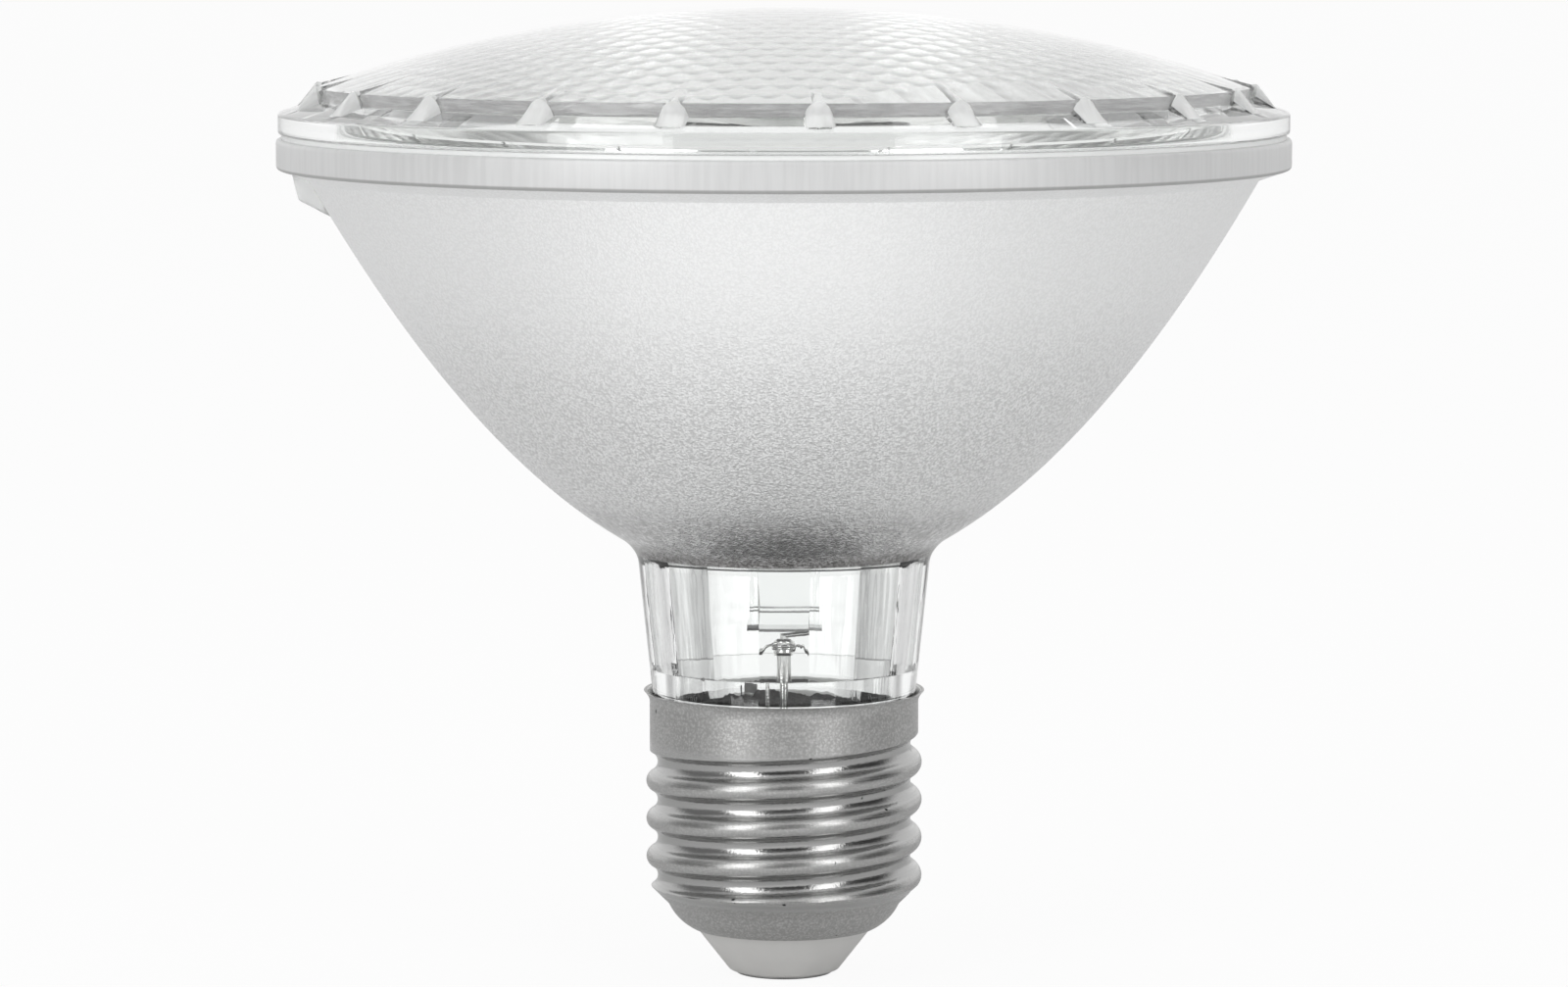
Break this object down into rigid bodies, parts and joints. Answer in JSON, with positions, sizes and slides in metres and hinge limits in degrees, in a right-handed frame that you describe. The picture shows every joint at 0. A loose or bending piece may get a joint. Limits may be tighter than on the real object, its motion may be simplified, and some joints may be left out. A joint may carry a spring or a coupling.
{
  "type": "reflector lamp bulb",
  "caption": "Pressed-glass spotlight lamp: mirrored bowl, domed pebbled lens, clear neck with halogen capsule, and a metal screw cap with a centre contact.",
  "frame": {"origin": "middle of the centre contact's outer face, where the lamp meets the bottom of its socket", "axes": "+Z along the lamp's axis from the cap to the lens; the rim's index key is on -X"},
  "size_m": [0.0952, 0.0952, 0.0916],
  "materials": {
    "lens_glass": "clear pressed glass, pebbled on its inner face",
    "reflector_glass": "pressed glass, mirrored inside the bowl, clear at rim and neck",
    "seal_adhesive": "clear adhesive",
    "capsule_glass": "clear hard glass",
    "clip_steel": "stamped sheet",
    "tungsten": "drawn wire",
    "lead_wire": "drawn wire",
    "fuse_glass": "matt",
    "cap_nickel": "nickel plated, bright on the thread and satin on the skirt",
    "cement": "matt, dark",
    "insulator": "moulded, semi-matt",
    "contact_metal": "nickel plated",
    "solder": "soldered, satin"
  },
  "bodies": {
    "root": {"front_lens": "lens_glass", "lens_seal": "seal_adhesive", "reflector": "reflector_glass", "capsule_clip": "clip_steel", "capsule_envelope": "capsule_glass", "filament": "tungsten", "filament_lead_short": "lead_wire", "filament_lead_long": "lead_wire", "centre_crimp": "lead_wire", "side_crimp": "lead_wire", "centre_feed_wire": "lead_wire", "side_feed_wire": "lead_wire", "fuse_sleeve": "fuse_glass", "screw_shell": "cap_nickel", "basing_cement": "cement", "cap_insulator": "insulator", "centre_contact": "contact_metal", "contact_solder": "solder", "side_solder": "solder"}
  },
  "joints": []
}
